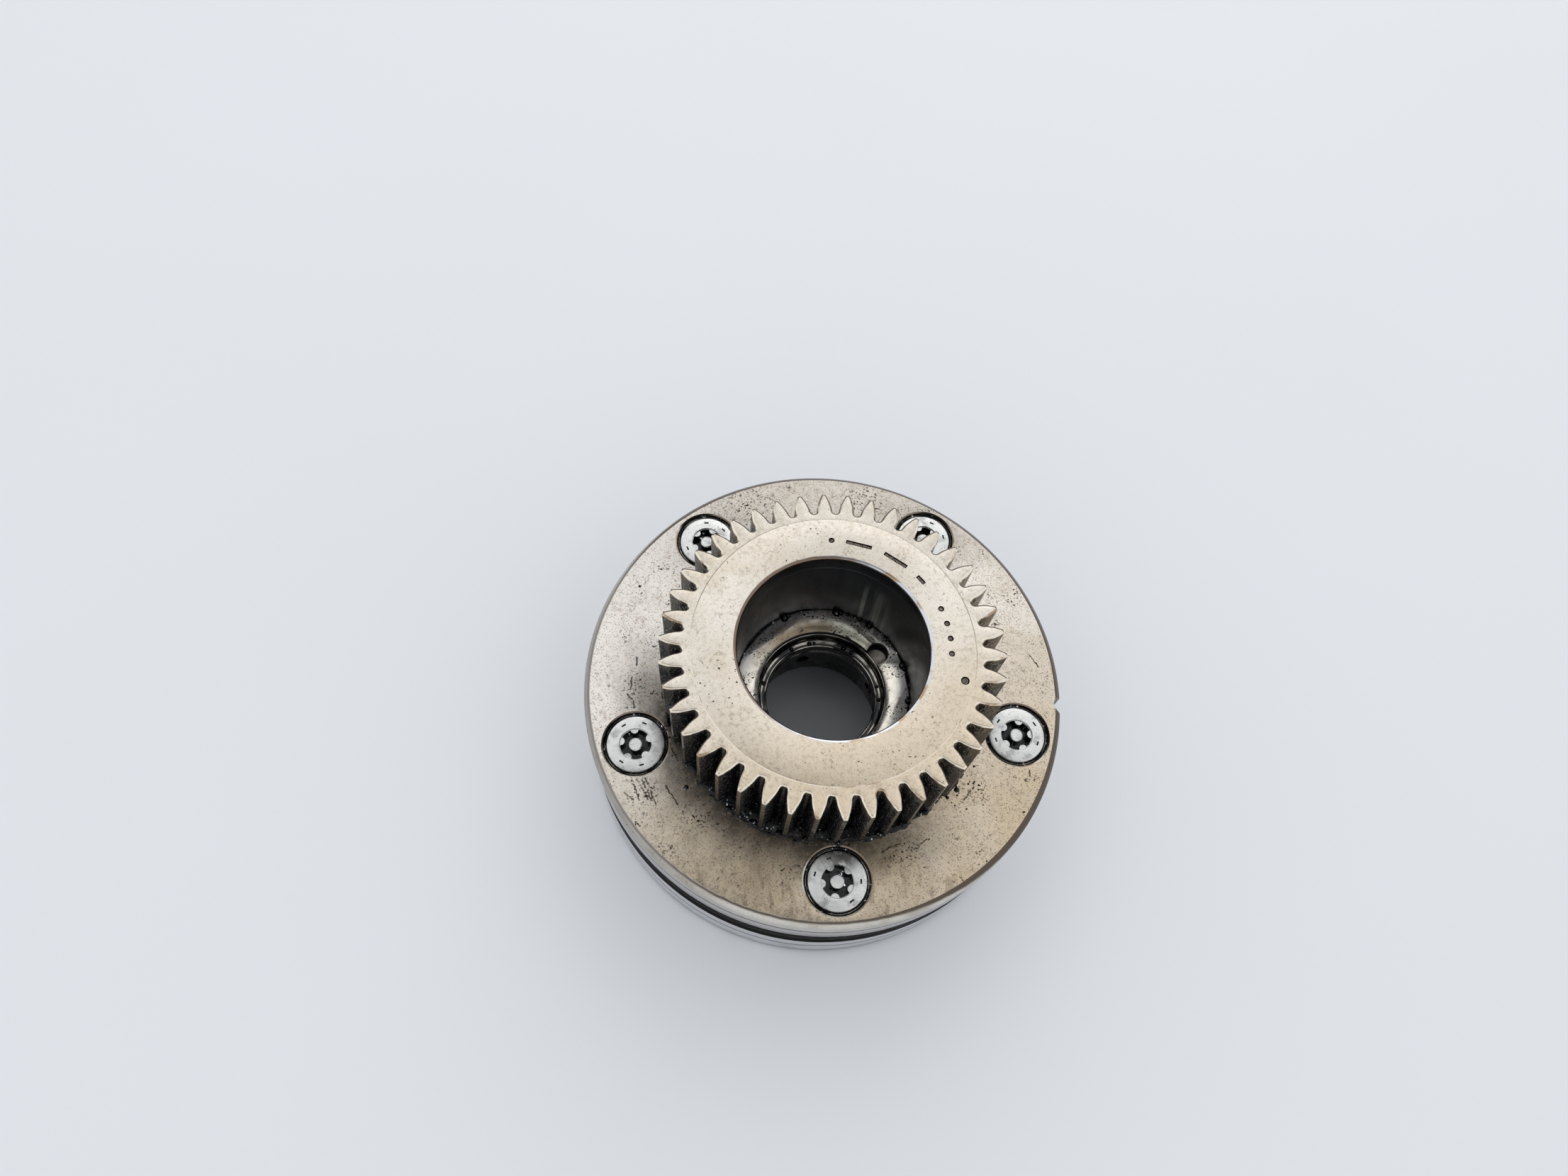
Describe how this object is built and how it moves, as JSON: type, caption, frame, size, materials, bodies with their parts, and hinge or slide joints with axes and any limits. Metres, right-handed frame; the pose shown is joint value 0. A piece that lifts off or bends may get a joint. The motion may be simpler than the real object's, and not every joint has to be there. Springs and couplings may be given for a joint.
{
  "type": "cam phaser",
  "caption": "Round vane-type camshaft phaser: a spur gear on its front cover drives a bolted housing, and an inner rotor with sliding vanes turns the camshaft against it by oil pressure.",
  "frame": {"origin": "centre of the rear cover's flat rear face, on the axis of rotation", "axes": "+Z along the axis of rotation from the rear cover to the drive gear; a cover screw lies on -Y"},
  "size_m": [0.085, 0.085, 0.0447],
  "materials": {
    "gear_steel": "tempered matt steel with an oil stain",
    "stator_steel": "turned sintered steel, oily in the groove",
    "cover_steel": "ground steel",
    "screw_zinc": "zinc-flake coated steel",
    "rotor_steel": "sintered steel, bronze tint",
    "vane_steel": "ground steel",
    "spring_steel": "bright spring steel",
    "seat_plastic": "natural moulded plastic",
    "engine_oil": "old engine oil, wet and black"
  },
  "bodies": {
    "housing": {"gear_cover": "gear_steel", "stator": "stator_steel", "rear_cover": "cover_steel", "cover_screws": "screw_zinc", "cover_dowel": "vane_steel", "lock_bush": "vane_steel"},
    "rotor": {"rotor": "rotor_steel", "lock_spring_seat": "seat_plastic", "lock_spring": "spring_steel", "vane_1": "vane_steel", "vane_2": "vane_steel", "vane_3": "vane_steel", "vane_4": "vane_steel", "vane_5": "vane_steel", "vane_spring_1": "spring_steel", "vane_spring_2": "spring_steel", "vane_spring_3": "spring_steel", "vane_spring_4": "spring_steel", "vane_spring_5": "spring_steel"},
    "lock_pin": {"lock_pin": "vane_steel"}
  },
  "joints": [
    {"name": "rotor_turn", "type": "hinge", "parent": "housing", "child": "rotor", "pos_m": [0, 0, 0.0153], "axis": [0, 0, 1], "range_deg": [-12.5, 12.5]},
    {"name": "lock_pin_slide", "type": "slide", "parent": "rotor", "child": "lock_pin", "axis": [0, 0, 1], "range_m": [0, 0.0035], "stiffness_N_per_m": 500, "springref_m": -0.008, "deforming": ["lock_spring"]}
  ]
}
